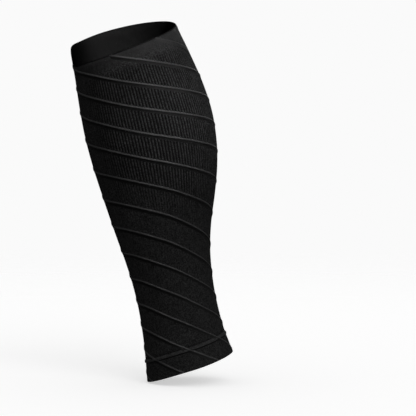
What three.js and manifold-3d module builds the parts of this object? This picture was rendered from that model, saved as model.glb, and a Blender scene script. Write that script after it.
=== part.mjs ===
// A knitted calf compression sleeve in the shape that it takes on a leg, in millimetres.
// +Z runs up the leg. -X is the shin, +X the calf, -Y the side with the lower knee rim.
// The origin is the middle of the ankle opening.
// A turn is an angle round the leg in radians: 0 at the shin, then through -Y, the calf and +Y.
import * as THREE from "three";
import { mergeVertices } from "three/addons/utils/BufferGeometryUtils.js";
import Module from "manifold-3d";

const wasm = await Module();
wasm.setup();

// Overall size. Depth is shin to calf and width is side to side, both over the outside.
const SLEEVE_LENGTH = 333.5;
const MOUTH_DEPTH = 90.6; // the ankle opening
const MOUTH_WIDTH = 84;
const ANKLE_DEPTH = 78.1; // the narrowest place
const ANKLE_WIDTH = 72;
const CALF_DEPTH = 128.8; // the widest place
const CALF_WIDTH = 119;
const KNEE_DEPTH = 109; // the knee opening
const KNEE_WIDTH = 103;
const CALF_SET_BACK = 7.5; // how far the calf's middle lies behind the ankle's
const SHIN_TAPER = 0.1; // how much narrower the calf section is in front than behind

// Fabric
const WALL = 1.2; // one layer of the knit
const GAP = 0.3; // between pieces that touch
const RIM_ROUND = 0.6; // rounding of a folded edge

// Spiral ribs: raised lines that run side by side down the sleeve
const RIB_STARTS = 5;
const RIB_WIDTH = 3; // up the leg, at the foot of the rib
const RIB_CREST = 1.4; // the same at its top
const RIB_HEIGHT = 0.7;
const HEM_RIB_HEIGHT = 0.4; // flattened where the hem is pressed

// Knee welt: the edge is turned over and down inside
const WELT_LIP = 1.4; // how far the fold shows on the outside
const WELT_DEPTH = 30; // how far it reaches down inside
const WELT_WALL = 1.1;

// Ankle hem and the raised seam above it
const HEM_HEIGHT = 20.5; // ankle rim to the seam's middle
const HEM_WALL = 2; // two layers, one folded over the other
const SEAM_WIDTH = 3.2;
const SEAM_CREST = 1.6;
const SEAM_HEIGHT = 0.9;

// How far each rim's highest place stands above its middle height
const KNEE_RIM_LEAN = 11.4;
const ANKLE_RIM_LEAN = 6.4;

// The height of each rim round the leg, in shares of its lean, by shares of a full turn. The
// knee's climbs from the front of the shin round the calf to the +Y side, and steps down at the shin.
const KNEE_RIM = [
  { turn: 0.0, rise: -0.6 },
  { turn: 0.04, rise: -1.43 },
  { turn: 0.08, rise: -1.44 },
  { turn: 0.195, rise: -1.04 },
  { turn: 0.345, rise: -0.32 },
  { turn: 0.5, rise: 0.41 },
  { turn: 0.6, rise: 0.81 },
  { turn: 0.7, rise: 1.0 },
  { turn: 0.8, rise: 0.9 },
  { turn: 0.9, rise: 0.52 },
  { turn: 0.96, rise: 0.24 },
];
const ANKLE_RIM = [
  { turn: 0.0, rise: -1.0 },
  { turn: 0.25, rise: 0.08 },
  { turn: 0.5, rise: 1.0 },
  { turn: 0.75, rise: -0.08 },
];

// Sections up the leg. height is a share of SLEEVE_LENGTH and setBack a share of CALF_SET_BACK.
// mouth, calf and knee say how far the section has gone from the ankle's size to each of those.
const SECTIONS = [
  { height: 0.0, mouth: 1.0, calf: 0.0, knee: 0.0, setBack: 0.19 },
  { height: 0.045, mouth: 0.62, calf: 0.0, knee: 0.0, setBack: 0.11 },
  { height: 0.105, mouth: 0.21, calf: 0.0, knee: 0.0, setBack: 0.03 },
  { height: 0.195, mouth: 0.0, calf: 0.0, knee: 0.0, setBack: 0.03 },
  { height: 0.27, mouth: 0.0, calf: 0.04, knee: 0.0, setBack: 0.05 },
  { height: 0.345, mouth: 0.0, calf: 0.156, knee: 0.0, setBack: 0.1 },
  { height: 0.42, mouth: 0.0, calf: 0.353, knee: 0.0, setBack: 0.27 },
  { height: 0.495, mouth: 0.0, calf: 0.586, knee: 0.0, setBack: 0.6 },
  { height: 0.57, mouth: 0.0, calf: 0.791, knee: 0.0, setBack: 0.88 },
  { height: 0.645, mouth: 0.0, calf: 0.936, knee: 0.0, setBack: 1.0 },
  { height: 0.735, mouth: 0.0, calf: 1.0, knee: 0.0, setBack: 0.97 },
  { height: 0.825, mouth: 0.0, calf: 0.81, knee: 0.19, setBack: 0.77 },
  { height: 0.915, mouth: 0.0, calf: 0.4, knee: 0.6, setBack: 0.43 },
  { height: 1.0, mouth: 0.0, calf: 0.0, knee: 1.0, setBack: 0.0 },
];

// Where the ribs run: the height of every third rib, counted down from the knee, at five places
// from the shin round the -Y side to the calf, as shares of SLEEVE_LENGTH.
const RIB_ROUTES = [
  { rib: 0, shin: 1.016, shinSide: 0.988, side: 0.945, calfSide: 0.897, calf: 0.852 },
  { rib: 3, shin: 0.811, shinSide: 0.772, side: 0.716, calfSide: 0.664, calf: 0.618 },
  { rib: 6, shin: 0.551, shinSide: 0.527, side: 0.478, calfSide: 0.409, calf: 0.349 },
  { rib: 9, shin: 0.304, shinSide: 0.285, side: 0.234, calfSide: 0.169, calf: 0.115 },
  { rib: 12, shin: 0.084, shinSide: 0.046, side: -0.013, calfSide: -0.076, calf: -0.138 },
];
const RIB_PLACES = ["shin", "shinSide", "side", "calfSide", "calf"];

// Facets
const COLUMNS = 40; // round the leg
const WALL_ROWS = 18; // up the bore
const PLAIN_ROWS = 2; // between two ribs

const AXIS = null; // in a profile, a point on the leg's axis

// A smooth curve through the rows of a table, straight beyond its ends.
function readTable(rows, key, column, at) {
  const last = rows.length - 1;
  const slope = (i, k) => (rows[k][column] - rows[i][column]) / (rows[k][key] - rows[i][key]);
  if (at <= rows[0][key]) return rows[0][column] + slope(0, 1) * (at - rows[0][key]);
  if (at >= rows[last][key]) return rows[last][column] + slope(last - 1, last) * (at - rows[last][key]);
  const next = rows.findIndex((row) => row[key] > at);
  const before = next - 1;
  const span = rows[next][key] - rows[before][key];
  const t = (at - rows[before][key]) / span;
  const start = slope(Math.max(before - 1, 0), next) * span;
  const end = slope(before, Math.min(next + 1, last)) * span;
  const rise = rows[next][column] - rows[before][column];
  const bend = t * (1 - t);
  return rows[before][column] + rise * t * t * (3 - 2 * t) + bend * ((1 - t) * start - t * end);
}

// The outer surface of the sleeve, moved out by offset, at a turn and a height.
function onLeg(turn, height, offset) {
  const share = height / SLEEVE_LENGTH;
  const read = (column) => readTable(SECTIONS, "height", column, share);
  const mix = (ankle, mouth, calf, knee) =>
    ankle + read("mouth") * (mouth - ankle) + read("calf") * (calf - ankle) + read("knee") * (knee - ankle);
  const depth = mix(ANKLE_DEPTH, MOUTH_DEPTH, CALF_DEPTH, KNEE_DEPTH) / 2;
  const width = mix(ANKLE_WIDTH, MOUTH_WIDTH, CALF_WIDTH, KNEE_WIDTH) / 2;
  const taper = 1 - SHIN_TAPER * read("calf") * Math.cos(turn);
  const out = new THREE.Vector3(-depth * Math.cos(turn), -width * taper * Math.sin(turn), 0);
  out.setLength(out.length() + offset);
  out.x += CALF_SET_BACK * read("setBack");
  out.z = height;
  return out;
}

// The rise of a rim at a turn, on a smooth curve through its rows that closes on itself.
function riseOf(rim, turn) {
  const rows = [-1, 0, 1].flatMap((lap) => rim.map((row) => ({ turn: row.turn + lap, rise: row.rise })));
  return readTable(rows, "turn", "rise", turn / (2 * Math.PI));
}

const kneeRim = (turn) => SLEEVE_LENGTH + KNEE_RIM_LEAN * riseOf(KNEE_RIM, turn);
const ankleRim = (turn) => ANKLE_RIM_LEAN * riseOf(ANKLE_RIM, turn);
const hemSeam = (turn) => ankleRim(turn) + HEM_HEIGHT;

// The height of a rib at a place. Places past the calf lead round the +Y side to the shin,
// where the rib takes the place of the rib RIB_STARTS below it.
function ribAtPlace(rib, place) {
  const calfPlace = RIB_PLACES.length - 1;
  if (place < 0) return ribAtPlace(rib - RIB_STARTS, place + 2 * calfPlace);
  if (place >= 2 * calfPlace) return ribAtPlace(rib + RIB_STARTS, place - 2 * calfPlace);
  if (place <= calfPlace) return SLEEVE_LENGTH * readTable(RIB_ROUTES, "rib", RIB_PLACES[place], rib);
  const share = (place - calfPlace) / calfPlace;
  return THREE.MathUtils.lerp(ribAtPlace(rib, calfPlace), ribAtPlace(rib, 2 * calfPlace), share);
}

// The height of a rib at a turn, on a smooth curve through its places.
function ribAt(rib, turn) {
  const place = (turn / Math.PI) * (RIB_PLACES.length - 1);
  const before = Math.floor(place);
  const rows = [-1, 0, 1, 2].map((step) => ({
    place: before + step,
    height: ribAtPlace(rib, before + step),
  }));
  return readTable(rows, "place", "height", place);
}

const turnOf = (column) => (column / COLUMNS) * 2 * Math.PI;

// A closed three.js geometry as a solid that can be cut.
function solidOf(geometry) {
  const bare = geometry.clone();
  for (const name of Object.keys(bare.attributes)) if (name !== "position") bare.deleteAttribute(name);
  const merged = mergeVertices(bare, 1e-4);
  return new wasm.Manifold(
    new wasm.Mesh({
      numProp: 3,
      vertProperties: merged.attributes.position.array,
      triVerts: new Uint32Array(merged.index.array),
    }),
  );
}

function geometryOf(solid) {
  const mesh = solid.getMesh();
  const geometry = new THREE.BufferGeometry();
  geometry.setAttribute("position", new THREE.BufferAttribute(mesh.vertProperties, 3));
  geometry.setIndex(new THREE.BufferAttribute(mesh.triVerts, 1));
  const flat = geometry.toNonIndexed();
  flat.computeVertexNormals();
  return flat;
}

// Turns a profile on a round drum and fits the drum to the leg. A profile point is
// [offset, level]: its offset from the outer surface, and its level as heightOf reads it.
function fitProfile(profile, heightOf) {
  const drumRadius = CALF_DEPTH;
  const points = profile.map(
    ([offset, level]) => new THREE.Vector2(offset === AXIS ? 0 : drumRadius + offset, level),
  );
  const drum = new THREE.LatheGeometry(points, COLUMNS);
  const place = drum.attributes.position;
  for (let column = 0; column <= COLUMNS; column += 1) {
    const turn = turnOf(column % COLUMNS);
    profile.forEach(([offset, level], i) => {
      const onAxis = new THREE.Vector3(0, 0, heightOf(0, level));
      const fitted = offset === AXIS ? onAxis : onLeg(turn, heightOf(turn, level), offset);
      place.setXYZ(column * profile.length + i, fitted.x, fitted.y, fitted.z);
    });
  }
  return solidOf(drum);
}

// The inside of the sleeve at a wall thickness, open past both rims.
function bore(wall) {
  const overrun = SLEEVE_LENGTH / 8;
  const low = -overrun;
  const high = SLEEVE_LENGTH + overrun;
  const profile = [[AXIS, low]];
  for (let row = 0; row <= WALL_ROWS; row += 1)
    profile.push([-wall, THREE.MathUtils.lerp(low, high, row / WALL_ROWS)]);
  profile.push([AXIS, high]);
  return fitProfile(profile, (turn, level) => level);
}

// All that lies between two lines round the leg.
function between(lowLine, highLine) {
  const inside = -HEM_WALL - GAP;
  const outside = RIB_HEIGHT + GAP;
  const farOut = CALF_DEPTH / 4;
  const profile = [
    [AXIS, 0],
    [inside, 0],
    [outside, 0],
    [farOut, 0],
    [farOut, 1],
    [outside, 1],
    [inside, 1],
    [AXIS, 1],
  ];
  return fitProfile(profile, (turn, level) => THREE.MathUtils.lerp(lowLine(turn), highLine(turn), level));
}

// The solid leg shape inside the sleeve's outer skin, with its ribs raised. Rows of the skin
// follow the ribs, so after one turn a row goes on as the row RIB_STARTS ribs further down.
function ribbedLeg(ribHeight) {
  const foot = RIB_WIDTH / 2;
  const crest = RIB_CREST / 2;
  const ribRows = [
    { above: foot, out: 0 },
    { above: crest, out: ribHeight },
    { above: -crest, out: ribHeight },
    { above: -foot, out: 0 },
  ];
  const rowsPerRib = ribRows.length + PLAIN_ROWS;
  const wrapRows = RIB_STARTS * rowsPerRib;

  // Enough ribs to reach past both rims all round.
  const spareRibs = RIB_STARTS - 1;
  const firstRib = RIB_ROUTES[0].rib - RIB_STARTS - spareRibs;
  const lastRow = (RIB_ROUTES.at(-1).rib + spareRibs - firstRib) * rowsPerRib;

  const corner = (column, row) => {
    if (column === COLUMNS) return corner(0, row + wrapRows);
    const rib = firstRib + Math.floor(row / rowsPerRib);
    const step = row % rowsPerRib;
    const turn = turnOf(column);
    const here = ribAt(rib, turn);
    if (step < ribRows.length) return onLeg(turn, here + ribRows[step].above, ribRows[step].out);
    const share = (step - ribRows.length + 1) / (PLAIN_ROWS + 1);
    return onLeg(turn, THREE.MathUtils.lerp(here - foot, ribAt(rib + 1, turn) + foot, share), 0);
  };

  const triangles = [];
  const quad = (a, b, c, d) => triangles.push(a, b, c, a, c, d);
  for (let column = 0; column < COLUMNS; column += 1)
    for (let row = 0; row < lastRow; row += 1)
      quad(
        corner(column, row),
        corner(column, row + 1),
        corner(column + 1, row + 1),
        corner(column + 1, row),
      );

  // Each end is closed by a fan from the axis over the edge row and the step where it wraps.
  const edge = (row) => {
    const loop = [];
    for (let column = 0; column < COLUMNS; column += 1) loop.push(corner(column, row));
    for (let step = wrapRows; step > 0; step -= 1) loop.push(corner(0, row + step));
    return loop;
  };
  const fan = (loop, apex, upward) =>
    loop.forEach((point, i) => {
      const next = loop[(i + 1) % loop.length];
      triangles.push(apex, ...(upward ? [point, next] : [next, point]));
    });
  fan(edge(0), new THREE.Vector3(0, 0, 2 * SLEEVE_LENGTH), true);
  fan(edge(lastRow), new THREE.Vector3(0, 0, -SLEEVE_LENGTH), false);
  return solidOf(new THREE.BufferGeometry().setFromPoints(triangles));
}

// The main tube of knit with its spiral ribs, from the hem seam to the turned knee edge.
function knitTube() {
  const foot = (turn) => hemSeam(turn) + SEAM_WIDTH / 2 + GAP;
  const top = (turn) => kneeRim(turn) - WELT_LIP - GAP;
  return ribbedLeg(RIB_HEIGHT).intersect(between(foot, top)).subtract(bore(WALL));
}

// The doubled band below the seam, with the ends of the ribs pressed flatter.
function ankleHem() {
  const top = (turn) => hemSeam(turn) - SEAM_WIDTH / 2 - GAP;
  return ribbedLeg(HEM_RIB_HEIGHT).intersect(between(ankleRim, top)).subtract(bore(HEM_WALL));
}

// The raised line of stitching between the tube and the hem.
function hemSeamRoll() {
  const half = SEAM_WIDTH / 2;
  const crest = SEAM_CREST / 2;
  const profile = [
    [-HEM_WALL, -half],
    [0, -half],
    [SEAM_HEIGHT, -crest],
    [SEAM_HEIGHT, crest],
    [0, half],
    [-HEM_WALL, half],
    [-HEM_WALL, -half],
  ];
  return fitProfile(profile, (turn, level) => hemSeam(turn) + level);
}

// The knee edge: a short lip outside, the fold at the rim, and the layer turned down inside.
function kneeWelt() {
  const meeting = -WALL - GAP;
  const inner = meeting - WELT_WALL;
  const profile = [
    [0, -WELT_LIP],
    [0, -RIM_ROUND],
    [-RIM_ROUND, 0],
    [inner + RIM_ROUND, 0],
    [inner, -RIM_ROUND],
    [inner, -WELT_DEPTH / 2],
    [inner, -WELT_DEPTH],
    [meeting, -WELT_DEPTH],
    [meeting, -WELT_DEPTH / 2],
    [meeting, -WELT_LIP],
    [0, -WELT_LIP],
  ];
  return fitProfile(profile, (turn, level) => kneeRim(turn) + level);
}

const KNIT = new THREE.MeshStandardMaterial({ color: 0x1c1c1d, roughness: 0.85, metalness: 0 });
const WELT_KNIT = new THREE.MeshStandardMaterial({ color: 0x141415, roughness: 0.6, metalness: 0 });
const SEAM_YARN = new THREE.MeshStandardMaterial({ color: 0x202021, roughness: 0.8, metalness: 0 });

function piece(name, solid, material) {
  const mesh = new THREE.Mesh(geometryOf(solid), material);
  mesh.name = name;
  return mesh;
}

const sleeve = new THREE.Group();
sleeve.add(piece("knit_tube", knitTube(), KNIT));
sleeve.add(piece("knee_welt", kneeWelt(), WELT_KNIT));
sleeve.add(piece("hem_seam", hemSeamRoll(), SEAM_YARN));
sleeve.add(piece("ankle_hem", ankleHem(), KNIT));

export default sleeve;
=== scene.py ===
# A knitted calf compression sleeve in the form that it takes on a leg, in metres.
# +Z runs up the leg. -X is the shin, +X the calf, -Y the side that faces the camera.
# A turn is an angle round the leg in radians: 0 at the shin, then through -Y, the calf and +Y.
import functools
import math

import bmesh
import bpy
from mathutils import Matrix, Vector


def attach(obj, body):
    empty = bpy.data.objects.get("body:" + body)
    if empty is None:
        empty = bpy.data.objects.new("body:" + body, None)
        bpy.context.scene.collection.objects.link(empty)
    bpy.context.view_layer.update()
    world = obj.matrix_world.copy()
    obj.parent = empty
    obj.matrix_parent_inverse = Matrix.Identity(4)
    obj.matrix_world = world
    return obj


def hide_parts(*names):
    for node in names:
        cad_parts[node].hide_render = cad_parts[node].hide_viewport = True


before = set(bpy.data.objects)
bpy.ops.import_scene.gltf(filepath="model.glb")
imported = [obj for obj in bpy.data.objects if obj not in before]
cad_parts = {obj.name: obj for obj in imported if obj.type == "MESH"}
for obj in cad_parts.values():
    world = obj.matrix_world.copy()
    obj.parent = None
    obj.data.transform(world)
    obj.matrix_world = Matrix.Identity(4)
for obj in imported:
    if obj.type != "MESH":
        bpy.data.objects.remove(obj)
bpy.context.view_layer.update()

FULL_TURN = 2 * math.pi
TINY = 1e-6

# Overall size. Depth is shin to calf and width is side to side, both over the outside.
SLEEVE_LENGTH = 0.3335
MOUTH_DEPTH, MOUTH_WIDTH = 0.0906, 0.084  # the ankle opening
ANKLE_DEPTH, ANKLE_WIDTH = 0.0781, 0.072  # the narrowest place
CALF_DEPTH, CALF_WIDTH = 0.1288, 0.119  # the widest place
KNEE_DEPTH, KNEE_WIDTH = 0.109, 0.103  # the knee opening
CALF_SET_BACK = 0.0075
SHIN_TAPER = 0.1

# Fabric
WALL = 0.0012
GAP = 0.0003
RIM_THINNING = 0.55  # how much thinner the fabric is at the knee rim, over the depth below it
RIM_THINNING_DEPTH = 0.006
COURSE_HEIGHT = 0.0008  # one row of stitches

# Wales: the fine upright ribs of the knit round the calf
WALES = 130
WALE_HEIGHT = 0.00028
COLUMNS_PER_WALE = 6
BEADS_PER_WALE = 2  # the stitches that stand up along the ribs and the seam

# Where the wales stand out: depths under the knee rim where they begin and are full, and where
# the smooth knit over them begins and is full; the height where they end at the sides, how much
# higher that is at the shin and lower at the calf, and how far they fade on either side of it.
WALES_BEGIN, WALES_FULL = 0.008, 0.024
SMOOTH_BEGIN, SMOOTH_FULL = 0.02, 0.006
WALES_END = 0.176
WALES_END_SWING = 0.018
WALES_FADE_BELOW, WALES_FADE_ABOVE = 0.035, 0.03

# Angles from the shin: plain knit gives way to wales, and they weaken toward the back
SHIN_EDGE, SIDE_EDGE = math.radians(22), math.radians(62)
BACK_EDGE, BACK_FULL = math.radians(95), math.radians(150)
BACK_WEAKENING = 0.2

# Spiral ribs
RIB_STARTS = 5
RIB_WIDTH = 0.003
RIB_HEIGHT = 0.0006
HEM_RIB_HEIGHT = 0.0004
RIB_STEP = 0.0008  # length of one facet along a rib
RIB_END_OUT = -0.3  # where its ends close, in shares of its height
RIB_LOW, RIB_FULL = -0.0015, 0.006  # depths under the knee lip between which a rib rises
RIB_BEAD = 0.00005
BEADED_ABOVE = 0.3  # the share of its height above which a rib is beaded
RIB_OVER_SEAM = 0.8  # how far a rib is lifted over the seam, in shares of the seam's height
RIB_EARLIEST, RIB_LATEST = -1.5 * FULL_TURN, FULL_TURN  # the turns between which a rib starts
RIB_LONGEST = 4 * FULL_TURN  # no rib runs further round than this

# The rib that starts faintly, under the back of the knee: its strength there, the turns from its
# start over which it grows to a full one, and how much painted shade darkens all of it where it is
# faint
FAINT_START = 4
FAINT_SHARE = 0.2
FAINT_TURN, FULL_STRENGTH_TURN = 0.35 * math.pi, 0.9 * math.pi
FAINT_PAINTED_SHADE = 0.6

# Knee welt
WELT_LIP = 0.0006
WELT_DEPTH = 0.03
WELT_WALL = 0.0011
WELT_FOLD = 0.0005  # how far the fold at the rim bulges
WELT_SHIN_PAINTED_SHADE = 0.85  # painted shade: the welt is darkened most at the shin, for the shade in that inside corner
WELT_SHIN_EDGE = 0.55  # the cosine of the turn at which that begins

# Ankle hem and the raised seam above it
HEM_HEIGHT = 0.0205
HEM_WALL = 0.002
HEM_TOP_ROUND = 0.0001
HEM_FOOT_ROUND = 0.0005
SEAM_WIDTH = 0.0044
SEAM_HEIGHT = 0.0009
SEAM_BEAD = 0.00007
SEAM_OUTSIDE = 0.75  # the share of the seam's cross-section that is outside
SEAM_PAINTED_SHADE_EDGE, SEAM_PAINTED_SHADE_FULL = -0.3, -0.6  # painted shade on its lower part, for the shade under it: where it begins and is full, in shares of half its width, down from its middle

# How many facets each cross-section has in its stretches
TUBE_OUTER_ROWS, TUBE_INNER_ROWS = 84, 12
WELT_INNER_ROWS, WELT_BACK_ROWS = 14, 6
HEM_ROWS = 12
SEAM_ROWS = 28
EDGE_ROWS = 2
ROUNDED_EDGE_ROWS = 8

# How far each rim's highest place stands above its middle height
KNEE_RIM_LEAN = 0.0114
ANKLE_RIM_LEAN = 0.0064

# The height of each rim round the leg, in shares of its lean, by shares of a full turn. The
# knee's climbs from the front of the shin round the calf, and steps down at the shin.
RIM_COLUMNS = ("turn", "rise")
KNEE_RIM = [
    (0.0, -0.42),
    (0.03, -1.27),
    (0.06, -1.47),
    (0.1, -1.39),
    (0.195, -1.04),
    (0.345, -0.32),
    (0.5, 0.41),
    (0.6, 0.81),
    (0.7, 1.0),
    (0.8, 0.9),
    (0.9, 0.52),
    (0.97, 0.2),
]
ANKLE_RIM = [(0.0, -1.0), (0.25, 0.08), (0.5, 1.0), (0.75, -0.08)]

# Sections up the leg. height is a share of SLEEVE_LENGTH and set_back a share of CALF_SET_BACK.
# mouth, calf and knee say how far the section has gone from the ankle's size to each of those.
SECTION_COLUMNS = ("height", "mouth", "calf", "knee", "set_back")
SECTIONS = [
    (0.0, 1.0, 0.0, 0.0, 0.19),
    (0.045, 0.62, 0.0, 0.0, 0.11),
    (0.105, 0.21, 0.0, 0.0, 0.03),
    (0.195, 0.0, 0.0, 0.0, 0.03),
    (0.27, 0.0, 0.04, 0.0, 0.05),
    (0.345, 0.0, 0.156, 0.0, 0.1),
    (0.42, 0.0, 0.353, 0.0, 0.27),
    (0.495, 0.0, 0.586, 0.0, 0.6),
    (0.57, 0.0, 0.791, 0.0, 0.88),
    (0.645, 0.0, 0.936, 0.0, 1.0),
    (0.735, 0.0, 1.0, 0.0, 0.97),
    (0.825, 0.0, 0.81, 0.19, 0.77),
    (0.915, 0.0, 0.4, 0.6, 0.43),
    (1.0, 0.0, 0.0, 1.0, 0.0),
]
SECTION_DECIMALS = 5  # sections are worked out for heights in hundredths of a millimetre

# Where the ribs run: the height of every third rib, counted down from the knee, at five places
# from the shin round the -Y side to the calf, as shares of SLEEVE_LENGTH.
ROUTE_COLUMNS = ("rib", "shin", "shin_side", "side", "calf_side", "calf")
RIB_ROUTES = [
    (0, 1.016, 0.988, 0.945, 0.897, 0.852),
    (3, 0.811, 0.772, 0.716, 0.664, 0.618),
    (6, 0.551, 0.527, 0.478, 0.409, 0.349),
    (9, 0.304, 0.285, 0.234, 0.169, 0.115),
    (12, 0.084, 0.046, -0.013, -0.076, -0.138),
]
HALF_TURN_PLACES = len(ROUTE_COLUMNS) - 2

# A rib's cross-section, from its upper edge to its lower one, a flat strip of knit under it, and
# back behind both. across is a share of half its width, out a share of its height, and the third
# column is painted shade, 1 on the strip: the dark line of shadow under the rib. Its crest lies
# below its middle.
RIB_PROFILE = [
    (1.0, -0.2, 0),
    (0.72, 0.18, 0),
    (0.4, 0.56, 0),
    (0.1, 0.88, 0),
    (-0.18, 1.0, 0),
    (-0.4, 0.84, 0.4),
    (-0.56, 0.44, 1),
    (-0.7, 0.26, 1),
    (-2.0, 0.24, 1),
    (-2.3, 0.2, 0.5),
    (-2.36, -0.3, 0.4),
    (-0.4, -0.4, 0),
    (1.0, -0.2, 0),
]

# Stitches. Tones are shares of a material's own colour. A stitch is 0 between the yarns and 1 on
# the middle of a yarn, and it dips toward the edges of its column.
STITCH_DIP = 0.7
STITCH_LOWEST_TONE = 0.7
STITCH_TONE = 0.5
DARKEST_TONE = 0.02
WALE_TONE = 0.05
WALE_QUIET = 0.1  # how much of the contrast the wales take away
SMOOTH_QUIET = 0.75  # how much of it the smooth knit takes away
GROOVE_SHARPNESS = 1.6
# Painted shade in the grooves between the wales: how much it darkens them, and the least share of
# the tone that it leaves
GROOVE_TONE = -1.0
GROOVE_DARKEST = 0.05
GROOVE_RELIEF = -0.5
# How much the painted-shade input darkens a knit, for the shade under the ribs and the seam, in the
# welt and over the faint rib
PAINTED_SHADE_TONE = -0.96

# Patterns over the stitches: scales are cells a metre, for the streaks cells a wale, and
# strengths are shares of the tone
HATCHES_PER_WALE = 1.5
HATCHES_PER_COURSE = -0.3
HATCH_STRENGTH = 0.12
STREAK_SCALE = 1.3
STREAK_SQUEEZE = 0.07  # how much of a wale's width one course counts as
STREAK_STRENGTH = 0.3
CLOUD_SCALE = 45
CLOUD_STRENGTH = 0.25
MOTTLE_SCALE = 1500
MOTTLE_STRENGTH = 0.4
LINT_SCALE = 330
LINT_RARITY = 0.93
LINT_REACH = 0.22
LINT_TONE = 0.9

# Finish of every knit. It is rougher in the dark between the yarns and smoother on them.
SHEEN = 0.01
SHEEN_ROUGHNESS = 0.5
DARK_TONE, PALE_TONE = 0.3, 1.3
ROUGHER, SMOOTHER = 0.15, 0.05
BUMP_STRENGTH = 0.5
BUMP_HEIGHT = 0.0002

# Camera: as seen in a square picture, with the sleeve leaning to the left
PICTURE_PIXELS = 416
ANKLE_PIXEL = (189.8, 366.5)
METRES_PER_PIXEL = 0.001
CAMERA_DISTANCE = 3.0
CAMERA_RISE = math.radians(4.5)
SLEEVE_LEAN = math.radians(11.3)
SENSOR_WIDTH = 36

# Studio. Tones are shares of full white. Directions and places go right, up and near as seen in
# the picture, from the middle of the ankle opening. Aims are places in the sleeve's own frame.
PALE = 0.956
ROOM_LIGHT = 0.04
SKY_STRENGTH = 0.42
SKY_DEGREES = 160
KEY_DIRECTION = (0.12, 0.38, 0.9)
KEY_STRENGTH = 1.05
KEY_DEGREES = 70
BACK_LIGHT_DIRECTION = (0.0, 0.45, -0.9)
BACK_LIGHT_STRENGTH = 1.3
BACK_LIGHT_DEGREES = 30
RIB_LIGHT_DIRECTION = (0.12, 0.6, 0.8)
RIB_LIGHT_STRENGTH = 2.0
RIB_LIGHT_DEGREES = 15
SPOT_PLACE = (0.55, 0.75, 0.68)
SPOT_AIM = (0.026, -0.045, 0.312)
SPOT_DEGREES = 7
SPOT_POWER = 290
LOW_SPOT_PLACE = (0.85, 0.15, 0.45)
LOW_SPOT_AIM = (0.04, -0.02, 0.05)
LOW_SPOT_DEGREES = 12
LOW_SPOT_POWER = 15
OUTER_SPOT_SIZE = 0.12
INNER_SPOT_PLACE = (0.3, 0.6, 0.75)
INNER_SPOT_AIM = (-0.005, 0.045, 0.336)
INNER_SPOT_DEGREES = 4
INNER_SPOT_POWER = 150
INNER_SPOT_SIZE = 0.05
FLOOR_LIGHT_DIRECTION = (0.35, 0.62, 0.8)
FLOOR_LIGHT_STRENGTH = 0.6
FLOOR_LIGHT_DEGREES = 40
FLOOR_SKY_STRENGTH = 1.25
FLOOR_GLOW = 0.553
FLOOR_COLOUR = 0.77
FLOOR_REACH = 1.5
FLOOR_FADE_START, FLOOR_FADE_END = 0.35, 0.95  # in shares of its reach


def read_table(rows, columns, column, at):
    """A smooth curve through a column of a table, straight beyond its ends."""
    field = columns.index(column)
    last = len(rows) - 1

    def slope(i, j):
        return (rows[j][field] - rows[i][field]) / (rows[j][0] - rows[i][0])

    if at <= rows[0][0]:
        return rows[0][field] + slope(0, 1) * (at - rows[0][0])
    if at >= rows[last][0]:
        return rows[last][field] + slope(last - 1, last) * (at - rows[last][0])
    after = next(i for i, row in enumerate(rows) if row[0] > at)
    before = after - 1
    span = rows[after][0] - rows[before][0]
    t = (at - rows[before][0]) / span
    start = slope(max(before - 1, 0), after) * span
    end = slope(before, min(after + 1, last)) * span
    rise = rows[after][field] - rows[before][field]
    bend = t * (1 - t)
    return rows[before][field] + rise * t * t * (3 - 2 * t) + bend * ((1 - t) * start - t * end)


def smooth_step(start, end, value):
    """0 up to start and 1 from end on, which may be either way round."""
    t = min(max((value - start) / (end - start), 0), 1)
    return t * t * (3 - 2 * t)


@functools.lru_cache(maxsize=None)
def section(height):
    """Half depth, half width, set back and taper of the leg at a height."""
    share = height / SLEEVE_LENGTH
    mouth, calf, knee, set_back = (
        read_table(SECTIONS, SECTION_COLUMNS, column, share) for column in SECTION_COLUMNS[1:]
    )

    def mix(at_ankle, at_mouth, at_calf, at_knee):
        swell = mouth * (at_mouth - at_ankle) + calf * (at_calf - at_ankle)
        return (at_ankle + swell + knee * (at_knee - at_ankle)) / 2

    depth = mix(ANKLE_DEPTH, MOUTH_DEPTH, CALF_DEPTH, KNEE_DEPTH)
    width = mix(ANKLE_WIDTH, MOUTH_WIDTH, CALF_WIDTH, KNEE_WIDTH)
    return depth, width, CALF_SET_BACK * set_back, SHIN_TAPER * calf


def on_leg(turn, height, offset):
    """A point of the sleeve's outer surface, moved out by offset. Its section is taken at a
    rounded height, so that most are worked out only once."""
    depth, width, set_back, taper = section(round(height, SECTION_DECIMALS))
    cosine, sine = math.cos(turn), math.sin(turn)
    out = Vector((-depth * cosine, -width * (1 - taper * cosine) * sine, 0))
    out *= 1 + offset / out.length
    return Vector((out.x + set_back, out.y, height))


def all_round(rim):
    """A rim's rows for the lap before, the lap itself and the lap after."""
    return [(turn + lap, rise) for lap in (-1, 0, 1) for turn, rise in rim]


KNEE_RIM_LAPS = all_round(KNEE_RIM)
ANKLE_RIM_LAPS = all_round(ANKLE_RIM)


def rim_rise(laps, turn):
    return read_table(laps, RIM_COLUMNS, "rise", turn / FULL_TURN % 1)


@functools.lru_cache(maxsize=None)
def knee_rim(turn):
    return SLEEVE_LENGTH + KNEE_RIM_LEAN * rim_rise(KNEE_RIM_LAPS, turn)


@functools.lru_cache(maxsize=None)
def ankle_rim(turn):
    return ANKLE_RIM_LEAN * rim_rise(ANKLE_RIM_LAPS, turn)


def knee_lip(turn):
    """The height of the foot of the lip under the knee rim."""
    return knee_rim(turn) - WELT_LIP


def seam_middle(turn):
    """The height of the middle of the hem seam."""
    return ankle_rim(turn) + HEM_HEIGHT


def seam_lift(above_seam):
    """How far the hem seam stands out, by the height above its middle."""
    across = min(abs(above_seam) / (SEAM_WIDTH / 2), 1)
    return SEAM_HEIGHT * (1 - across * across) ** 1.5


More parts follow.
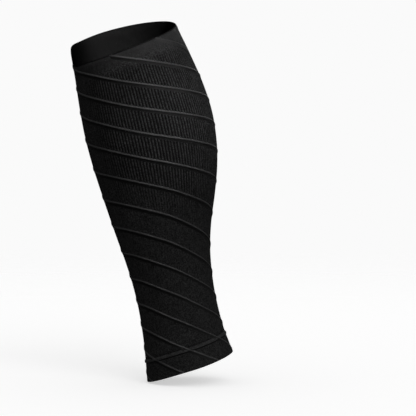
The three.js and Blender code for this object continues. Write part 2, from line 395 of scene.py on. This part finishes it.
@functools.lru_cache(maxsize=None)
def rib_at_place(rib, place):
    """Height of a rib at a place. Places past the calf lead round the +Y side to the shin."""
    if place < 0:
        return rib_at_place(rib - RIB_STARTS, place + 2 * HALF_TURN_PLACES)
    if place >= 2 * HALF_TURN_PLACES:
        return rib_at_place(rib + RIB_STARTS, place - 2 * HALF_TURN_PLACES)
    if place <= HALF_TURN_PLACES:
        column = ROUTE_COLUMNS[place + 1]
        return SLEEVE_LENGTH * read_table(RIB_ROUTES, ROUTE_COLUMNS, column, rib)
    share = (place - HALF_TURN_PLACES) / HALF_TURN_PLACES
    calf, shin = rib_at_place(rib, HALF_TURN_PLACES), rib_at_place(rib, 2 * HALF_TURN_PLACES)
    return calf + share * (shin - calf)


def rib_at(rib, turn):
    """Height of a rib at a turn, on a smooth curve through its places."""
    place = turn / math.pi * HALF_TURN_PLACES
    before = math.floor(place)
    rows = [(before + step, rib_at_place(rib, before + step)) for step in (-1, 0, 1, 2)]
    return read_table(rows, ("place", "height"), "height", place)


def rib_end(rib, line, low, high):
    """The turn between low and high where a rib passes a line round the leg."""
    halvings = 40
    for _ in range(halvings):
        middle = (low + high) / 2
        if rib_at(rib, middle) > line(middle):
            low = middle
        else:
            high = middle
    return low


def wale_zone(turn, height):
    """How strongly the wales stand out: from the knee to the calf, less at the back and not at
    the shin. Below 0 it says how smooth the knit is under the knee rim."""
    below_rim = knee_rim(turn) - height
    turn = turn % FULL_TURN
    from_shin = min(turn, FULL_TURN - turn)
    upper = smooth_step(WALES_BEGIN, WALES_FULL, below_rim)
    end = WALES_END + WALES_END_SWING * math.cos(turn)
    lower = smooth_step(end - WALES_FADE_BELOW, end + WALES_FADE_ABOVE, height)
    side = smooth_step(SHIN_EDGE, SIDE_EDGE, from_shin)
    back = smooth_step(BACK_EDGE, BACK_FULL, from_shin)
    smooth = smooth_step(SMOOTH_BEGIN, SMOOTH_FULL, below_rim)
    return upper * lower * side * (1 - BACK_WEAKENING * back) - smooth


def thinned(offset, below_rim):
    """An offset into the wall, eased towards the surface near the knee rim."""
    return offset * (1 - RIM_THINNING * (1 - smooth_step(0, RIM_THINNING_DEPTH, below_rim)))


def beads(turn):
    """A wave along the ribs and the seam, one crest for each stitch that stands up."""
    return math.cos(turn * WALES * BEADS_PER_WALE)


def along(corners, share):
    """The values at a share of the way through the corners of a line."""
    at = share * (len(corners) - 1)
    before = min(int(at), len(corners) - 2)
    pairs = zip(corners[before], corners[before + 1])
    return tuple(start + (at - before) * (end - start) for start, end in pairs)


def rows_between(start, end, count):
    """Corners in even steps from start up to, but not including, end."""
    steps = range(count)
    return [tuple(p + (q - p) * i / count for p, q in zip(start, end)) for i in steps]


def rounded_edge(level, reach, wall, first_angle):
    """Corners of the half round that closes a wall at its top or foot, (level, offset) each."""
    corners = []
    for i in range(ROUNDED_EDGE_ROWS + 1):
        angle = first_angle - i / ROUNDED_EDGE_ROWS * math.pi
        corners.append((level + reach * math.cos(angle), -wall / 2 + wall / 2 * math.sin(angle)))
    return corners


def new_object(name, bm):
    """An object at the origin from a bmesh, which is then freed."""
    mesh = bpy.data.meshes.new(name)
    bm.to_mesh(mesh)
    bm.free()
    thing = bpy.data.objects.new(name, mesh)
    bpy.context.scene.collection.objects.link(thing)
    return thing


def sheet_of(name, columns, rows, place):
    """A piece of knit from a grid, whose columns run round the leg and whose rows run round its
    cross-section. place gives turn, height, offset and the attribute zone, which is how far a
    vertex is in the part that the material treats in its own way, from two shares of the way.
    The grid is laid out flat first, then rolled up on the leg."""
    bm = bmesh.new()
    uv = bm.loops.layers.uv.new("knit")
    zone = bm.verts.layers.float.new("zone")
    bmesh.ops.create_grid(bm, x_segments=columns, y_segments=rows, size=0.5)
    for vert in bm.verts:
        *flat, vert[zone] = place(vert.co.x + 0.5, vert.co.y + 0.5)
        vert.co = Vector(flat)
    for face in bm.faces:
        for loop in face.loops:
            flat = loop.vert.co
            loop[uv].uv = (flat.x / FULL_TURN * WALES, flat.y / COURSE_HEIGHT)
    for vert in bm.verts:
        vert.co = on_leg(*vert.co)
    bmesh.ops.remove_doubles(bm, verts=bm.verts, dist=TINY)
    bmesh.ops.recalc_face_normals(bm, faces=bm.faces)
    for face in bm.faces:
        face.smooth = True
    piece = new_object(name, bm)
    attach(piece, "root")
    return piece


def knit_tube():
    """The tube of knit from the hem seam to the turned knee edge. Level 0 is its foot, 1 its top."""
    profile = rows_between((0, 0), (1, 0), TUBE_OUTER_ROWS)
    profile += rows_between((1, 0), (1, -WALL), EDGE_ROWS)
    profile += rows_between((1, -WALL), (0, -WALL), TUBE_INNER_ROWS)
    profile += rows_between((0, -WALL), (0, 0), EDGE_ROWS)
    profile += profile[:1]

    def place(way_round, way_across):
        turn = way_round * FULL_TURN
        level, offset = along(profile, way_across)
        foot = seam_middle(turn) + SEAM_WIDTH / 2 - GAP
        height = foot + level * (knee_lip(turn) - GAP - foot)
        waled = wale_zone(turn, height)
        if offset > -WALL / 2:
            offset += max(waled, 0) * math.cos(turn * WALES) * WALE_HEIGHT / 2
        else:
            offset = thinned(offset, knee_rim(turn) - height)
        return turn, height, offset, waled

    return sheet_of("knit_tube", WALES * COLUMNS_PER_WALE, len(profile) - 1, place)


def faint(rib_height, painted_shade, turn_from_start):
    """Height and painted shade of the rib that starts faintly, from those of a full one; where it is
    faint, painted shade darkens all of it.
    """
    stronger = smooth_step(FAINT_TURN, FULL_STRENGTH_TURN, turn_from_start)
    strength = FAINT_SHARE + (1 - FAINT_SHARE) * stronger
    return rib_height * strength, painted_shade * strength + FAINT_PAINTED_SHADE * (1 - strength)


def spiral_rib(start):
    """One raised rib, from under the knee lip down to the ankle rim. It closes in a point, just
    under the surface, at each end."""

    def lip(turn):
        return knee_lip(turn) + GAP

    first = rib_end(start, lip, RIB_EARLIEST, RIB_LATEST)
    last = rib_end(start, ankle_rim, first, first + RIB_LONGEST)
    length = (last - first) * CALF_DEPTH / 2
    columns = round(length / RIB_STEP)

    def place(way_along, way_across):
        turn = first + way_along * (last - first)
        # The profile's third column is painted shade: the dark strip under the rib, for its shadow
        across, out, painted_shade = along(RIB_PROFILE, way_across)
        if min(way_along, 1 - way_along) < TINY:
            across, out = 0, RIB_END_OUT
        height = rib_at(start, turn) + across * RIB_WIDTH / 2
        above_seam = height - seam_middle(turn)
        on_tube = smooth_step(-SEAM_WIDTH, SEAM_WIDTH, above_seam)
        rib_height = HEM_RIB_HEIGHT + on_tube * (RIB_HEIGHT - HEM_RIB_HEIGHT)
        rib_height *= smooth_step(RIB_LOW, RIB_FULL, lip(turn) - rib_at(start, turn))
        if start == FAINT_START:
            rib_height, painted_shade = faint(rib_height, painted_shade, turn - first)
        offset = out * rib_height + seam_lift(above_seam) * RIB_OVER_SEAM
        if out > BEADED_ABOVE:
            offset += RIB_BEAD * beads(turn)
        height = min(height, knee_rim(turn) - WELT_LIP / 2)
        return turn, max(height, ankle_rim(turn) + GAP), offset, painted_shade

    return sheet_of(f"spiral_rib_{start + 1}", columns, len(RIB_PROFILE) - 1, place)


def hem_seam():
    """The raised row of linking between the tube and the hem."""
    half = SEAM_WIDTH / 2

    def place(way_round, way_across):
        turn = way_round * FULL_TURN
        if way_across < SEAM_OUTSIDE:
            above = half - way_across / SEAM_OUTSIDE * SEAM_WIDTH
            offset = seam_lift(above) + SEAM_BEAD * (1 - abs(above) / half) * beads(turn)
            # Painted shade darkens the lower part of the seam, for the shade under it
            painted_shade = smooth_step(SEAM_PAINTED_SHADE_EDGE * half, SEAM_PAINTED_SHADE_FULL * half, above)
        else:
            way_back = (way_across - SEAM_OUTSIDE) / (1 - SEAM_OUTSIDE)
            above = -half + way_back * SEAM_WIDTH
            offset = -HEM_WALL * math.sin(way_back * math.pi)
            painted_shade = 0
        return turn, seam_middle(turn) + above, offset, painted_shade

    return sheet_of("hem_seam", WALES * COLUMNS_PER_WALE, SEAM_ROWS, place)


def ankle_hem():
    """The doubled band below the seam."""
    foot = HEM_FOOT_ROUND
    top = HEM_HEIGHT - SEAM_WIDTH / 2 + GAP - HEM_TOP_ROUND
    profile = rows_between((foot, 0), (top, 0), HEM_ROWS)
    profile += rounded_edge(top, HEM_TOP_ROUND, HEM_WALL, math.pi / 2)
    profile += rows_between((top, -HEM_WALL), (foot, -HEM_WALL), HEM_ROWS)
    profile += rounded_edge(foot, HEM_FOOT_ROUND, HEM_WALL, -math.pi / 2)
    profile += profile[:1]

    def place(way_round, way_across):
        turn = way_round * FULL_TURN
        level, offset = along(profile, way_across)
        return turn, ankle_rim(turn) + level, offset, 0

    return sheet_of("ankle_hem", WALES * 2, len(profile) - 1, place)


def knee_welt():
    """The lip outside, the fold at the rim and the layer turned down inside. Levels are counted
    up from the rim."""
    meeting = -WALL - GAP
    inner = meeting - WELT_WALL
    fold_foot = -WELT_FOLD - 0.001
    profile = [(-WELT_LIP, meeting), (-WELT_LIP, 0)]
    profile += rounded_edge(-WELT_FOLD, WELT_FOLD, -inner, math.pi / 2)
    profile += rows_between((fold_foot, inner), (-WELT_DEPTH, inner), WELT_INNER_ROWS)
    profile += rows_between((-WELT_DEPTH, inner), (-WELT_DEPTH, meeting), EDGE_ROWS)
    profile += rows_between((-WELT_DEPTH, meeting), (-WELT_LIP, meeting), WELT_BACK_ROWS)
    profile += profile[:1]

    def place(way_round, way_across):
        turn = way_round * FULL_TURN
        level, offset = along(profile, way_across)
        # Painted shade darkens the welt towards the shin, for the shade in that inside corner
        painted_shade = WELT_SHIN_PAINTED_SHADE * smooth_step(WELT_SHIN_EDGE, 1, math.cos(turn))
        return turn, knee_rim(turn) + level, thinned(offset, -level), painted_shade

    return sheet_of("knee_welt", WALES * 3, len(profile) - 1, place)


def join(tree, socket, value):
    """Sets a socket to a plain value or links it to another node's output."""
    if isinstance(value, bpy.types.NodeSocket):
        tree.links.new(value, socket)
    else:
        socket.default_value = value


def add_node(tree, kind, inputs):
    """A node with its named inputs set or linked."""
    node = tree.nodes.new(kind)
    for name, value in inputs.items():
        join(tree, node.inputs[name], value)
    return node


def maths(tree, operation, *values):
    node = tree.nodes.new("ShaderNodeMath")
    node.operation = operation
    for socket, value in zip(node.inputs, values):
        join(tree, socket, value)
    return node.outputs["Value"]


def noise(tree, point, scale, detail):
    """Soft noise from 0 to 1 with its middle at 0.5."""
    inputs = {"Vector": point, "Scale": scale, "Detail": detail}
    return add_node(tree, "ShaderNodeTexNoise", inputs).outputs["Fac"]


def spread(tree, value, amount):
    """1 plus or minus an amount, from a value round 0.5."""
    return maths(tree, "MULTIPLY_ADD", value, 2 * amount, 1 - amount)


def flat_point(tree, x, y):
    return add_node(tree, "ShaderNodeCombineXYZ", {"X": x, "Y": y}).outputs["Vector"]


def wale_groove(tree, wale_at, waled):
    """1 in the groove between two wales."""
    wave = maths(tree, "COSINE", maths(tree, "MULTIPLY", wale_at, FULL_TURN))
    groove = maths(tree, "MULTIPLY_ADD", wave, -0.5, 0.5)
    return maths(tree, "MULTIPLY", maths(tree, "POWER", groove, GROOVE_SHARPNESS), waled)


def slanting_hatch(tree, wale_at, course_at, plain):
    """Fine dark and light lines that slant across the plain knit."""
    slant = maths(tree, "MULTIPLY", course_at, HATCHES_PER_COURSE)
    slant = maths(tree, "MULTIPLY_ADD", wale_at, HATCHES_PER_WALE, slant)
    hatch = maths(tree, "SINE", maths(tree, "MULTIPLY", slant, FULL_TURN))
    return maths(tree, "MULTIPLY", hatch, maths(tree, "MULTIPLY", plain, HATCH_STRENGTH))


def sparse_lint(tree, point):
    """Pale specks: the very middle of a few cells."""
    cells = add_node(tree, "ShaderNodeTexVoronoi", {"Vector": point, "Scale": LINT_SCALE})
    chance = add_node(tree, "ShaderNodeSeparateColor", {"Color": cells.outputs["Color"]})
    rare = maths(tree, "GREATER_THAN", chance.outputs["Red"], LINT_RARITY)
    near = maths(tree, "LESS_THAN", cells.outputs["Distance"], LINT_REACH)
    return maths(tree, "MULTIPLY", maths(tree, "MULTIPLY", rare, near), LINT_TONE)


def knit_group():
    """Knitted loops: rows of V-shaped stitches, with wales where the wale zone is above 0 and
    little grain where it is below 0. Its tone carries painted shade in the grooves between the
    wales and as much as its painted-shade input says."""
    group = bpy.data.node_groups.new("knitted_loops", "ShaderNodeTree")
    sockets = [
        ("Place", "INPUT", "NodeSocketVector"),
        ("Point", "INPUT", "NodeSocketVector"),
        ("Loops", "INPUT", "NodeSocketFloat"),
        ("Wale Zone", "INPUT", "NodeSocketFloat"),
        ("Painted Shade", "INPUT", "NodeSocketFloat"),
        ("Grain", "INPUT", "NodeSocketFloat"),
        ("Tone", "OUTPUT", "NodeSocketFloat"),
        ("Height", "OUTPUT", "NodeSocketFloat"),
    ]
    for name, way, kind in sockets:
        group.interface.new_socket(name, in_out=way, socket_type=kind)
    given = group.nodes.new("NodeGroupInput").outputs
    result = group.nodes.new("NodeGroupOutput").inputs

    waled = maths(group, "MAXIMUM", given["Wale Zone"], 0.0)
    smooth = maths(group, "MAXIMUM", maths(group, "MULTIPLY", given["Wale Zone"], -1.0), 0.0)
    plain = maths(group, "SUBTRACT", 1.0, maths(group, "ADD", waled, smooth))
    split = add_node(group, "ShaderNodeSeparateXYZ", {"Vector": given["Place"]})
    wale_at, course_at = split.outputs["X"], split.outputs["Y"]

    # V-shaped stitches
    column_at = maths(group, "MULTIPLY", wale_at, given["Loops"])
    loop_at = maths(group, "FRACT", column_at)
    from_middle = maths(group, "ABSOLUTE", maths(group, "MULTIPLY_ADD", loop_at, 2.0, -1.0))
    row_at = maths(group, "MULTIPLY_ADD", from_middle, 0.5, course_at)
    yarn = maths(group, "SINE", maths(group, "MULTIPLY", maths(group, "FRACT", row_at), math.pi))
    edge = maths(group, "POWER", from_middle, 3.0)
    dip = maths(group, "MULTIPLY_ADD", edge, -STITCH_DIP, 1.0)
    stitch = maths(group, "MULTIPLY", yarn, dip)

    groove = wale_groove(group, wale_at, waled)
    hatch = slanting_hatch(group, wale_at, course_at, plain)

    # Each stitch and each wale has a tone of its own
    cell = flat_point(group, maths(group, "FLOOR", column_at), maths(group, "FLOOR", row_at))
    own = add_node(group, "ShaderNodeTexWhiteNoise", {"Vector": cell})
    own.noise_dimensions = "2D"
    wale_line = flat_point(group, wale_at, maths(group, "MULTIPLY", course_at, STREAK_SQUEEZE))
    streak = spread(group, noise(group, wale_line, STREAK_SCALE, 1.0), STREAK_STRENGTH)
    cloud = spread(group, noise(group, given["Point"], CLOUD_SCALE, 2.0), CLOUD_STRENGTH)
    mottle = maths(group, "SUBTRACT", noise(group, given["Point"], MOTTLE_SCALE, 1.0), 0.5)
    own_tone = maths(group, "SUBTRACT", own.outputs["Value"], 0.5)
    grain = maths(group, "MULTIPLY_ADD", mottle, MOTTLE_STRENGTH, own_tone)
    grain = maths(group, "MULTIPLY", grain, given["Grain"])

    # Contrast is quieter on the wales and much quieter on the smooth knit
    quiet = maths(group, "MULTIPLY_ADD", waled, -WALE_QUIET, 1.0)
    quiet = maths(group, "MULTIPLY_ADD", smooth, -SMOOTH_QUIET, quiet)
    tone = maths(group, "MULTIPLY_ADD", stitch, STITCH_TONE, STITCH_LOWEST_TONE)
    tone = maths(group, "ADD", tone, maths(group, "ADD", grain, hatch))
    tone = maths(group, "MULTIPLY_ADD", maths(group, "SUBTRACT", tone, 1.0), quiet, 1.0)

    # Painted shade: darker in the grooves between the wales and as much as the painted-shade input
    # says, for the shade that falls there
    ridge = maths(group, "MULTIPLY_ADD", waled, WALE_TONE, 1.0)
    ridge = maths(group, "MULTIPLY_ADD", groove, GROOVE_TONE, ridge)
    tone = maths(group, "MULTIPLY", tone, maths(group, "MAXIMUM", ridge, GROOVE_DARKEST))
    unshaded = maths(group, "MULTIPLY_ADD", given["Painted Shade"], PAINTED_SHADE_TONE, 1.0)
    tone = maths(group, "MULTIPLY", tone, unshaded)
    tone = maths(group, "MULTIPLY", tone, maths(group, "MULTIPLY", cloud, streak))
    tone = maths(group, "ADD", tone, sparse_lint(group, given["Point"]))
    join(group, result["Tone"], maths(group, "MAXIMUM", tone, DARKEST_TONE))

    height = maths(group, "MULTIPLY_ADD", groove, GROOVE_RELIEF, stitch)
    join(group, result["Height"], maths(group, "ADD", height, grain))
    return group


def knit_material(name, colour, loops, grain, roughness, specular, zone="Painted Shade"):
    """A knit whose stitches shade its colour, its roughness and its relief, with a number of
    loops across each wale. The attribute zone says where it has wales or how much painted shade it
    has."""
    material = bpy.data.materials.new(name)
    material.use_nodes = True
    tree = material.node_tree
    shader = tree.nodes["Principled BSDF"]
    shader.inputs["Specular IOR Level"].default_value = specular
    shader.inputs["Sheen Weight"].default_value = SHEEN
    shader.inputs["Sheen Roughness"].default_value = SHEEN_ROUGHNESS

    place = tree.nodes.new("ShaderNodeUVMap")
    place.uv_map = "knit"
    point = tree.nodes.new("ShaderNodeTexCoord")
    share = tree.nodes.new("ShaderNodeAttribute")
    share.attribute_name = "zone"
    knit = tree.nodes.new("ShaderNodeGroup")
    knit.node_tree = knitted_loops
    join(tree, knit.inputs["Place"], place.outputs["UV"])
    join(tree, knit.inputs["Point"], point.outputs["Object"])
    join(tree, knit.inputs["Loops"], loops)
    join(tree, knit.inputs["Grain"], grain)
    join(tree, knit.inputs[zone], share.outputs["Fac"])

    shade = tree.nodes.new("ShaderNodeVectorMath")
    shade.operation = "SCALE"
    join(tree, shade.inputs["Vector"], colour)
    join(tree, shade.inputs["Scale"], knit.outputs["Tone"])
    join(tree, shader.inputs["Base Color"], shade.outputs["Vector"])

    rough = add_node(tree, "ShaderNodeMapRange", {
        "Value": knit.outputs["Tone"],
        "From Min": DARK_TONE,
        "From Max": PALE_TONE,
        "To Min": roughness + ROUGHER,
        "To Max": roughness - SMOOTHER,
    })
    join(tree, shader.inputs["Roughness"], rough.outputs["Result"])

    bump = add_node(tree, "ShaderNodeBump", {
        "Height": knit.outputs["Height"],
        "Strength": BUMP_STRENGTH,
        "Distance": BUMP_HEIGHT,
    })
    join(tree, shader.inputs["Normal"], bump.outputs["Normal"])
    return material


def ribbed_knit():
    """Matt black knit of the tube."""
    colour = (0.018, 0.018, 0.0182)
    return knit_material(
        "ribbed_knit", colour, loops=3, grain=1.3, roughness=0.65, specular=0.03, zone="Wale Zone"
    )


def rib_knit():
    """The closer, slightly shiny knit of the spiral ribs."""
    colour = (0.022, 0.022, 0.0222)
    return knit_material("rib_knit", colour, loops=3, grain=0.4, roughness=0.4, specular=0.17)


def welt_knit():
    """The smooth knit of the turned knee edge, coloured half as bright as the tube: painted shade
    for the inside of the knee opening.
    """
    colour = (0.009, 0.009, 0.0091)
    return knit_material("welt_knit", colour, loops=4, grain=0.2, roughness=0.5, specular=0.06)


def seam_yarn():
    """The yarn that links the hem to the tube, coloured paler than the tube's knit."""
    colour = (0.031, 0.031, 0.0313)
    return knit_material("seam_yarn", colour, loops=2, grain=0.8, roughness=0.6, specular=0.08)


def hem_knit():
    """Matt plain knit of the doubled band."""
    colour = (0.018, 0.018, 0.0182)
    return knit_material("hem_knit", colour, loops=3, grain=1.2, roughness=0.65, specular=0.03)


def dress(piece, material, slot, *nodes):
    """Gives a piece its material and hides the nodes that it replaces. Its slot is not used."""
    piece.data.materials.append(material)
    if nodes:
        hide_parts(*nodes)
    return piece


def picture_axes():
    """The directions right, up and ahead of the camera's picture."""
    sin_rise, cos_rise = math.sin(CAMERA_RISE), math.cos(CAMERA_RISE)
    level_right, level_up = Vector((1, 0, 0)), Vector((0, sin_rise, cos_rise))
    right = math.cos(SLEEVE_LEAN) * level_right - math.sin(SLEEVE_LEAN) * level_up
    up = math.sin(SLEEVE_LEAN) * level_right + math.cos(SLEEVE_LEAN) * level_up
    return right, up, Vector((0, cos_rise, -sin_rise))


def as_seen(shares):
    """A direction or place from how far it goes right, up and near in the picture."""
    right, up, ahead = picture_axes()
    return shares[0] * right + shares[1] * up - shares[2] * ahead


def floor_up():
    """Straight up from the floor, which is level in the picture and seen from a little above."""
    _, up, ahead = picture_axes()
    return math.cos(CAMERA_RISE) * up - math.sin(CAMERA_RISE) * ahead


def camera():
    """The camera, aimed so that the ankle opening's middle falls on its place in the picture."""
    right, up, ahead = picture_axes()
    middle = PICTURE_PIXELS / 2
    aim = METRES_PER_PIXEL * as_seen((middle - ANKLE_PIXEL[0], ANKLE_PIXEL[1] - middle, 0))
    data = bpy.data.cameras.new("camera")
    data.sensor_width = SENSOR_WIDTH
    data.lens = SENSOR_WIDTH * CAMERA_DISTANCE / (METRES_PER_PIXEL * PICTURE_PIXELS)
    view = bpy.data.objects.new("camera", data)
    axes = Matrix((right, up, -ahead)).transposed().to_4x4()
    view.matrix_world = Matrix.Translation(aim - CAMERA_DISTANCE * ahead) @ axes
    bpy.context.scene.collection.objects.link(view)
    bpy.context.scene.camera = view


def lamp(name, kind, power, direction):
    """A lamp that shines from a direction."""
    data = bpy.data.lights.new(name, kind)
    data.energy = power
    light = bpy.data.objects.new(name, data)
    light.rotation_euler = direction.to_track_quat("Z", "Y").to_euler()
    bpy.context.scene.collection.objects.link(light)
    return light


def soft_sun(name, strength, direction, degrees):
    """A far lamp that looks as wide as the degrees say."""
    light = lamp(name, "SUN", strength, direction)
    light.data.angle = math.radians(degrees)
    return light


def spot(name, power, place, aim, degrees, size):
    """A near lamp with a soft-edged cone and a round face of a size."""
    place = as_seen(place)
    light = lamp(name, "SPOT", power, place - Vector(aim))
    light.location = place
    light.data.spot_size = math.radians(degrees)
    light.data.spot_blend = 1
    light.data.shadow_soft_size = size
    return light


def only_on(light, pieces):
    """Lets a lamp light only these pieces."""
    lit = bpy.data.collections.new(light.name)
    for piece in pieces:
        lit.objects.link(piece)
    light.light_linking.receiver_collection = lit


def sleeve_lamps(plain, ribs, inside):
    """Soft light from above, a broad lamp from the front, one from the back and a small one that
    makes the ribs shine, a spot on the upper calf, a weak one on the ankle and one in at the
    knee."""
    outside = [*plain, *ribs]
    only_on(soft_sun("sky_light", SKY_STRENGTH, floor_up(), SKY_DEGREES), outside)
    only_on(soft_sun("key_light", KEY_STRENGTH, as_seen(KEY_DIRECTION), KEY_DEGREES), plain)
    back = as_seen(BACK_LIGHT_DIRECTION)
    only_on(soft_sun("back_light", BACK_LIGHT_STRENGTH, back, BACK_LIGHT_DEGREES), outside)
    front = as_seen(RIB_LIGHT_DIRECTION)
    only_on(soft_sun("rib_light", RIB_LIGHT_STRENGTH, front, RIB_LIGHT_DEGREES), ribs)
    upper = spot("upper_spot", SPOT_POWER, SPOT_PLACE, SPOT_AIM, SPOT_DEGREES, OUTER_SPOT_SIZE)
    only_on(upper, outside)
    low = spot(
        "low_spot", LOW_SPOT_POWER, LOW_SPOT_PLACE, LOW_SPOT_AIM, LOW_SPOT_DEGREES, OUTER_SPOT_SIZE
    )
    only_on(low, outside)
    inner = spot(
        "inner_spot", INNER_SPOT_POWER, INNER_SPOT_PLACE, INNER_SPOT_AIM, INNER_SPOT_DEGREES,
        INNER_SPOT_SIZE,
    )
    only_on(inner, [inside])


def studio():
    """A white room that is dimmer as a light than it looks."""
    world = bpy.data.worlds.new("studio")
    bpy.context.scene.world = world
    world.use_nodes = True
    tree = world.node_tree
    seen = tree.nodes.new("ShaderNodeLightPath").outputs["Is Camera Ray"]
    tones = {"Value": seen, "To Min": ROOM_LIGHT, "To Max": PALE}
    strength = add_node(tree, "ShaderNodeMapRange", tones)
    background = tree.nodes["Background"]
    join(tree, background.inputs["Strength"], strength.outputs["Result"])
    join(tree, background.inputs["Color"], (1, 1, 1, 1))
    bpy.context.scene.view_settings.view_transform = "Standard"


def floor_paint():
    """Matt paint that fades out with the distance. Part of its tone is its own, so shadows on it
    stay faint, and it is bare from below."""
    material = bpy.data.materials.new("floor")
    material.use_nodes = True
    tree = material.node_tree
    shader = tree.nodes["Principled BSDF"]
    shader.inputs["Base Color"].default_value = (FLOOR_COLOUR, FLOOR_COLOUR, FLOOR_COLOUR, 1)
    shader.inputs["Roughness"].default_value = 1
    shader.inputs["Specular IOR Level"].default_value = 0
    shader.inputs["Emission Color"].default_value = (1, 1, 1, 1)
    shader.inputs["Emission Strength"].default_value = FLOOR_GLOW

    point = tree.nodes.new("ShaderNodeTexCoord")
    distance = tree.nodes.new("ShaderNodeVectorMath")
    distance.operation = "LENGTH"
    join(tree, distance.inputs[0], point.outputs["Object"])
    fade = add_node(tree, "ShaderNodeMapRange", {
        "Value": distance.outputs["Value"],
        "From Min": FLOOR_REACH * FLOOR_FADE_START,
        "From Max": FLOOR_REACH * FLOOR_FADE_END,
        "To Min": 1,
        "To Max": 0,
    })
    fade.interpolation_type = "SMOOTHSTEP"
    side = tree.nodes.new("ShaderNodeNewGeometry")
    above = maths(tree, "SUBTRACT", 1.0, side.outputs["Backfacing"])
    join(tree, shader.inputs["Alpha"], maths(tree, "MULTIPLY", fade.outputs["Result"], above))
    return material


def floor():
    """A pale floor just under the ankle rim, with lamps of its own, that fades into the room."""
    up = floor_up()
    turns = [degrees / 180 * math.pi for degrees in range(360)]
    lowest = min(up.dot(on_leg(turn, ankle_rim(turn), 0)) for turn in turns)
    bm = bmesh.new()
    bmesh.ops.create_grid(bm, x_segments=8, y_segments=8, size=FLOOR_REACH)
    bmesh.ops.rotate(bm, verts=bm.verts, matrix=up.to_track_quat("Z", "Y").to_matrix())
    bmesh.ops.translate(bm, verts=bm.verts, vec=(lowest - GAP) * up)
    ground = new_object("floor", bm)
    ground.data.materials.append(floor_paint())
    ground.visible_diffuse = False
    ground.visible_glossy = False
    front = as_seen(FLOOR_LIGHT_DIRECTION)
    only_on(soft_sun("floor_light", FLOOR_LIGHT_STRENGTH, front, FLOOR_LIGHT_DEGREES), [ground])
    only_on(soft_sun("floor_sky", FLOOR_SKY_STRENGTH, up, SKY_DEGREES), [ground])


camera()
studio()
floor()

knitted_loops = knit_group()
tube = dress(knit_tube(), ribbed_knit(), "ribbed_knit", "knit_tube")
rib_finish = rib_knit()
ribs = [dress(spiral_rib(start), rib_finish, "ribbed_knit") for start in range(RIB_STARTS)]
welt = dress(knee_welt(), welt_knit(), "welt_knit", "knee_welt")
seam = dress(hem_seam(), seam_yarn(), "seam_yarn", "hem_seam")
hem = dress(ankle_hem(), hem_knit(), "hem_knit", "ankle_hem")
sleeve_lamps([tube, seam, hem], ribs, welt)
